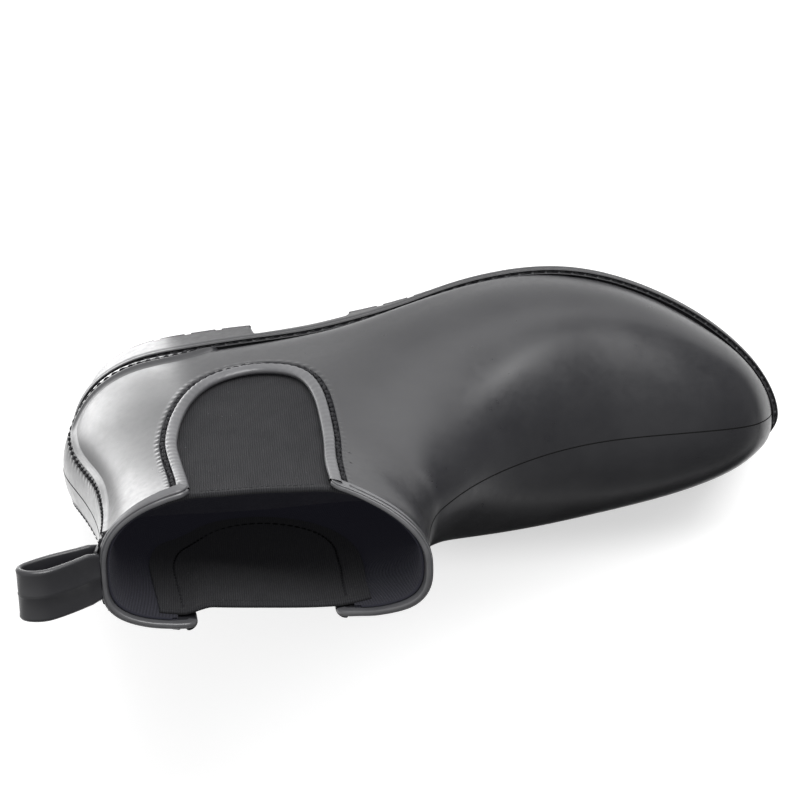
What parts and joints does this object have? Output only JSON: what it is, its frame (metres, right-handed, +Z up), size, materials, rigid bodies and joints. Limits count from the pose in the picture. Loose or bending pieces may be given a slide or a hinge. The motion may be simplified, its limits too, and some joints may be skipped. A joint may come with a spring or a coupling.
{
  "type": "rain boot",
  "caption": "Low ankle-height rubber rain boot for the left foot, with elastic side panels, a stitched-look welt, a lugged sole and a pull loop at the heel.",
  "frame": {"origin": "middle of the footprint of the boot's box, on the ground", "axes": "+X to the toe, +Y to the wearer's left, which is the outer side of this left boot, +Z up"},
  "size_m": [0.293, 0.101, 0.1646],
  "materials": {
    "rubber_upper": "satin to semi-gloss moulded black rubber",
    "rubber_sole": "satin moulded black rubber",
    "elastic": "dark grey ribbed elastic webbing",
    "knit_lining": "near-black ribbed knit",
    "thread": "black sewing thread",
    "foam": "knit-faced foam"
  },
  "bodies": {
    "boot": {"upper_shell": "rubber_upper", "lining": "knit_lining", "left_gore": "elastic", "right_gore": "elastic", "left_gore_stitching": "thread", "right_gore_stitching": "thread", "heel_counter": "rubber_upper", "left_counter_stitching": "thread", "right_counter_stitching": "thread", "welt": "rubber_sole", "welt_stitching": "thread", "outsole": "rubber_sole", "footbed": "foam", "pull_loop_base": "rubber_upper"},
    "strap": {"pull_loop": "rubber_upper"}
  },
  "joints": [
    {"name": "pull_loop_bend", "type": "hinge", "parent": "boot", "child": "strap", "pos_m": [-0.12454, -0.0045, 0.148], "axis": [0, 1, 0], "range_deg": [-65, 58], "stiffness_Nm_per_rad": 0.02}
  ]
}
